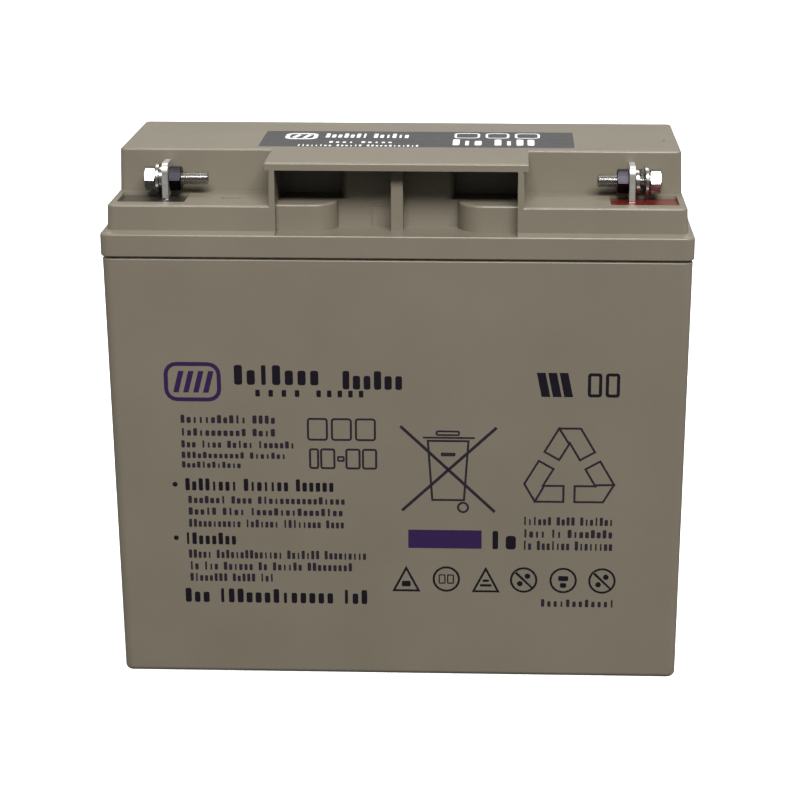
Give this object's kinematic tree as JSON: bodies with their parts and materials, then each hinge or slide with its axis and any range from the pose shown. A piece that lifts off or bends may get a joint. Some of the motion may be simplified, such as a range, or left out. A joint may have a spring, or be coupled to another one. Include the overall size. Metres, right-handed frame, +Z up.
{
  "type": "deep cycle battery",
  "caption": "Sealed 12 V deep cycle battery: box case, stepped lid with a finger grip, flag terminals with screws and nuts, and its cells and valves inside.",
  "frame": {"origin": "centre of the bottom face", "axes": "+X along the length, from the negative terminal to the positive terminal; +Y from the terminals' side to the back; +Z up"},
  "size_m": [0.181, 0.077, 0.167],
  "materials": {
    "case_plastic": "satin moulded ABS, taupe grey",
    "lid_plastic": "satin moulded ABS, taupe grey",
    "black_sealant": "matt black epoxy",
    "label_film": "semi-gloss dark grey printed film",
    "positive_paste_lead": "matt brown lead dioxide paste on a lead grid",
    "negative_paste_lead": "matt grey spongy lead paste on a lead grid",
    "glass_mat": "white absorbent glass mat",
    "lead": "dull cast lead",
    "valve_rubber": "matt black rubber",
    "tinned_brass": "satin tin plate",
    "zinc_steel": "bright zinc plate",
    "negative_resin": "glossy black cast resin",
    "positive_resin": "glossy red cast resin"
  },
  "bodies": {
    "battery": {"case": "case_plastic", "lid_sealant": "black_sealant", "lid": "lid_plastic", "top_cover": "lid_plastic", "top_label": "label_film", "cell_1_positive_plates": "positive_paste_lead", "cell_1_negative_plates": "negative_paste_lead", "cell_1_separators": "glass_mat", "cell_2_positive_plates": "positive_paste_lead", "cell_2_negative_plates": "negative_paste_lead", "cell_2_separators": "glass_mat", "cell_3_positive_plates": "positive_paste_lead", "cell_3_negative_plates": "negative_paste_lead", "cell_3_separators": "glass_mat", "cell_4_positive_plates": "positive_paste_lead", "cell_4_negative_plates": "negative_paste_lead", "cell_4_separators": "glass_mat", "cell_5_positive_plates": "positive_paste_lead", "cell_5_negative_plates": "negative_paste_lead", "cell_5_separators": "glass_mat", "cell_6_positive_plates": "positive_paste_lead", "cell_6_negative_plates": "negative_paste_lead", "cell_6_separators": "glass_mat", "intercell_connector_1": "lead", "intercell_connector_2": "lead", "intercell_connector_3": "lead", "intercell_connector_4": "lead", "intercell_connector_5": "lead", "negative_post": "lead", "negative_post_seal": "valve_rubber", "negative_terminal": "tinned_brass", "negative_terminal_resin": "negative_resin", "negative_flat_washer": "zinc_steel", "negative_spring_washer": "zinc_steel", "positive_post": "lead", "positive_post_seal": "valve_rubber", "positive_terminal": "tinned_brass", "positive_terminal_resin": "positive_resin", "positive_flat_washer": "zinc_steel", "positive_spring_washer": "zinc_steel"},
    "vent_cap_1": {"vent_cap_1": "valve_rubber"},
    "vent_cap_2": {"vent_cap_2": "valve_rubber"},
    "vent_cap_3": {"vent_cap_3": "valve_rubber"},
    "vent_cap_4": {"vent_cap_4": "valve_rubber"},
    "vent_cap_5": {"vent_cap_5": "valve_rubber"},
    "vent_cap_6": {"vent_cap_6": "valve_rubber"},
    "negative_bolt": {"negative_bolt": "zinc_steel"},
    "negative_nut": {"negative_nut": "zinc_steel"},
    "positive_bolt": {"positive_bolt": "zinc_steel"},
    "positive_nut": {"positive_nut": "zinc_steel"}
  },
  "joints": [
    {"name": "vent_cap_1_lift", "type": "slide", "parent": "battery", "child": "vent_cap_1", "axis": [0, 0, 1], "range_m": [0, 0.0003], "stiffness_N_per_m": 2500},
    {"name": "vent_cap_2_lift", "type": "slide", "parent": "battery", "child": "vent_cap_2", "axis": [0, 0, 1], "range_m": [0, 0.0003], "stiffness_N_per_m": 2500},
    {"name": "vent_cap_3_lift", "type": "slide", "parent": "battery", "child": "vent_cap_3", "axis": [0, 0, 1], "range_m": [0, 0.0003], "stiffness_N_per_m": 2500},
    {"name": "vent_cap_4_lift", "type": "slide", "parent": "battery", "child": "vent_cap_4", "axis": [0, 0, 1], "range_m": [0, 0.0003], "stiffness_N_per_m": 2500},
    {"name": "vent_cap_5_lift", "type": "slide", "parent": "battery", "child": "vent_cap_5", "axis": [0, 0, 1], "range_m": [0, 0.0003], "stiffness_N_per_m": 2500},
    {"name": "vent_cap_6_lift", "type": "slide", "parent": "battery", "child": "vent_cap_6", "axis": [0, 0, 1], "range_m": [0, 0.0003], "stiffness_N_per_m": 2500},
    {"name": "negative_bolt_turn", "type": "hinge", "parent": "battery", "child": "negative_bolt", "pos_m": [-0.0718, -0.0196, 0.1588], "axis": [-1, 0, 0], "range_deg": [0, 3600]},
    {"name": "negative_nut_travel", "type": "slide", "parent": "battery", "child": "negative_nut", "axis": [1, 0, 0], "range_m": [0, 0.007]},
    {"name": "positive_bolt_turn", "type": "hinge", "parent": "battery", "child": "positive_bolt", "pos_m": [0.0718, -0.0196, 0.1588], "axis": [1, 0, 0], "range_deg": [0, 2520]},
    {"name": "positive_nut_travel", "type": "slide", "parent": "battery", "child": "positive_nut", "axis": [-1, 0, 0], "range_m": [0, 0.0049]}
  ],
  "couplings": [
    {"joint": "negative_bolt_turn", "follows": "negative_nut_travel", "rad_per_m": 8976},
    {"joint": "positive_bolt_turn", "follows": "positive_nut_travel", "rad_per_m": 8976}
  ]
}
